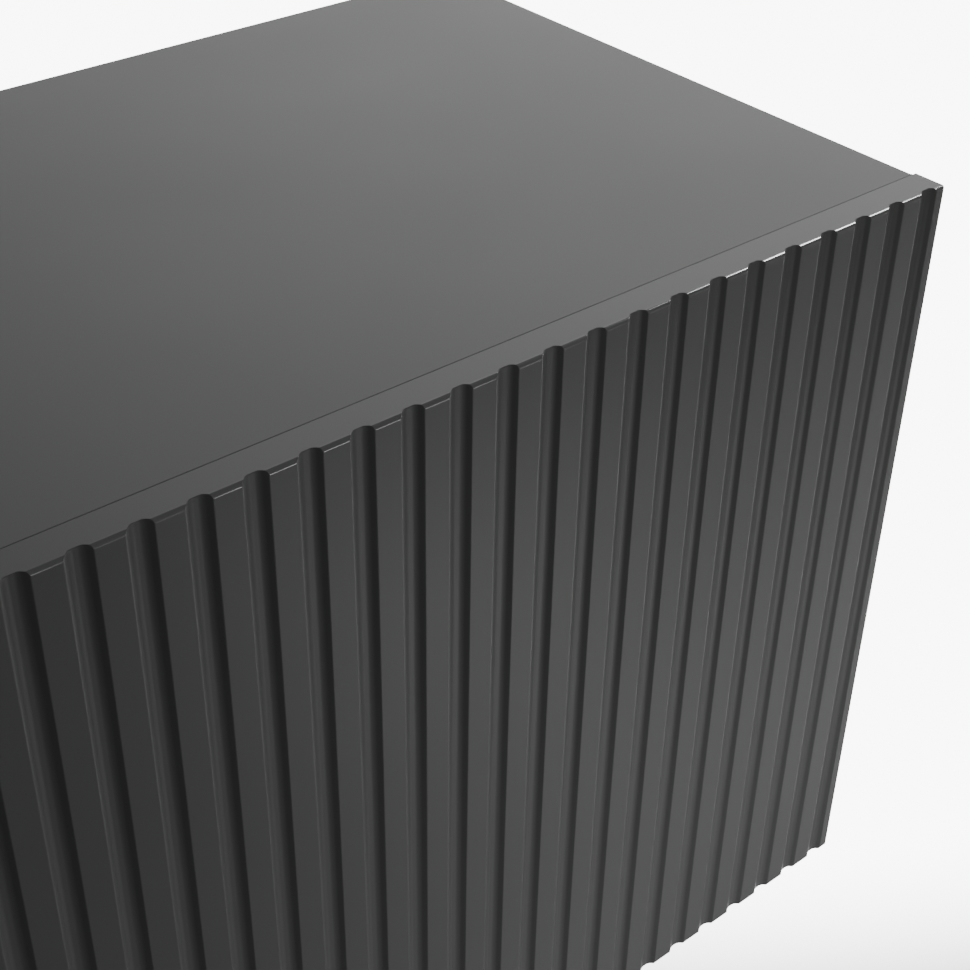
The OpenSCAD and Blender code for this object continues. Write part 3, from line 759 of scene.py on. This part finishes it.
def refine(node, width):
    """A merged copy of a CAD node with softened corners."""
    bpy.ops.object.select_all(action="DESELECT")
    source = frame["nodes"][node]
    piece = bpy.data.objects.new(node + "_fine", source.data.copy())
    bpy.context.scene.collection.objects.link(piece)
    bpy.context.view_layer.objects.active = piece
    piece.select_set(True)
    bpy.ops.object.mode_set(mode="EDIT")
    bpy.ops.mesh.select_all(action="SELECT")
    bpy.ops.mesh.remove_doubles(threshold=MERGE_GAP)
    bpy.ops.mesh.dissolve_limited(angle_limit=math.radians(1))
    leave_edit()
    bevel = piece.modifiers.new("fine edges", "BEVEL")
    bevel.width = width
    bevel.segments = 2
    bevel.limit_method = "ANGLE"
    bevel.angle_limit = math.radians(35)
    bpy.ops.object.modifier_apply(modifier=bevel.name)
    bpy.ops.object.shade_smooth_by_angle(angle=math.radians(32))
    finish_piece(piece, slot_of[node], body_of(source)[0], node)
    return piece


# The width of the softened edge in millimetres, fitting by fitting
DOOR_FITTINGS = {
    "hinge_cups": 0.25, "cup_screws": 0.15, "cup_pins": 0.2, "strike_plate": 0.2,
    "outer_links": 0.2, "inner_links": 0.2, "latch_plunger": 0.6,
}
CARCASS_FITTINGS = {
    "hinge_arms": 0.3, "arm_pins": 0.2, "hinge_plates": 0.4, "plate_screws": 0.4,
    "latch_housings": 0.5, "latch_screws": 0.4, "shelf_pins": 0.4, "cam_locks": 0.3,
    "frame_screws": 0.4, "foot_nuts": 0.3,
}
for side in ("left", "middle", "right"):
    for fitting, width in DOOR_FITTINGS.items():
        refine(side + "_" + fitting, width * MM)
for fitting, width in CARCASS_FITTINGS.items():
    piece = refine(fitting, width * MM)
    print(piece.name, len(piece.data.polygons))

# %% [markdown]
# ## Floor and studio
# The floor is a pale sheet under the feet, with a pool of light painted into it as emission behind
# and on the right. A matt dark foil shows mostly what it mirrors, so the room matters as much as
# the lamps: it is dim in front on the left, and bright behind and on the right, where the floor
# glows like a light table from that painted light. A softbox high on the right gives the thin
# bright lines along the tops of the ribs. Two small panels low in front light the grooves, and
# stay below the top so that they don't reach it.

# %% Floor
# Painted light: the floor glows by its own emission in a round pool around LIT_MIDDLE, full within
# LIT_INSIDE and gone beyond LIT_OUTSIDE; no lamp casts it.
LIT_MIDDLE = (2.25, 1.65, 0)
LIT_INSIDE, LIT_OUTSIDE, LIT_LIGHT = 2.02, 2.28, 8.5
FLOOR_SIZE = 30
FLOOR_GREY = (0.5, 0.5, 0.5, 1)
bpy.ops.object.select_all(action="DESELECT")
bpy.ops.mesh.primitive_plane_add(size=FLOOR_SIZE, location=(0, 0, 0))
floor = bpy.context.object
floor.name = "studio_floor"
pale = Finish("floor with painted light pool", Roughness=0.9, Base_Color=FLOOR_GREY, Emission_Strength=1.0)
spot = pale.node("TexCoord", output="Object")
away = pale.node("VectorMath", {"operation": "DISTANCE"}, {0: spot, 1: LIT_MIDDLE}, "Value")
limits = {"Value": away, "From Min": LIT_OUTSIDE, "From Max": LIT_INSIDE,
          "To Min": 0.0, "To Max": 1.0}
lit = pale.node("MapRange", {"interpolation_type": "SMOOTHSTEP"}, limits)
# painted pool of light: the emission colour goes from black outside to LIT_LIGHT inside
pale.set(Emission_Color=pale.blend(lit, (0, 0, 0), (LIT_LIGHT,) * 3))
floor.data.materials.append(pale.material)
print("lit floor within", LIT_INSIDE, "m of", LIT_MIDDLE)

# %% Softboxes
def softbox(name, place, target, size, power, beam=180):
    bpy.ops.object.light_add(type="AREA", location=place)
    lamp = bpy.context.object
    lamp.name = name
    lamp.data.shape = "RECTANGLE"
    lamp.data.size, lamp.data.size_y = size
    lamp.data.energy = power
    lamp.data.spread = math.radians(beam)
    lamp.rotation_mode = "QUATERNION"
    lamp.rotation_quaternion = (Vector(target) - Vector(place)).to_track_quat("-Z", "Y")
    print(name, "watts", power)


softbox("right panel", (2.9, -1.65, 2.3), (0.8, -0.2, 0.7), (0.52, 0.42), 29)
softbox("front panel", (0.6, -1.5, 0.2), (0.75, -0.2, 0.45), (0.5, 0.4), 2.1)
softbox("low panel", (0.89, -0.65, 0.27), (0.76, -0.2, 0.34), (0.3, 0.3), 1.18, 105)

# %% Room
class Room(Finish):
    """The world's nodes, written in the same way as a material's."""

    def __init__(self, name):
        world = bpy.data.worlds.new(name)
        bpy.context.scene.world = world
        world.use_nodes = True
        self.tree = world.node_tree
        self.surface = self.tree.nodes["Background"]


ROOM_DIM, ROOM_BRIGHT = 0.24, 2.93
BRIGHT_SIDE = (0.9, 0.42, 0.12)
BRIGHT_FROM = 0.45

room = Room("studio room")
view = room.node("TexCoord", output="Generated")
toward = room.node("VectorMath", {"operation": "DOT_PRODUCT"}, {0: view, 1: BRIGHT_SIDE}, "Value")
limits = {"Value": toward, "From Min": BRIGHT_FROM, "From Max": 1.0,
          "To Min": ROOM_DIM, "To Max": ROOM_BRIGHT}
glow = room.node("MapRange", {"interpolation_type": "SMOOTHSTEP"}, limits)
room.set(Color=(1, 1, 1, 1), Strength=glow)
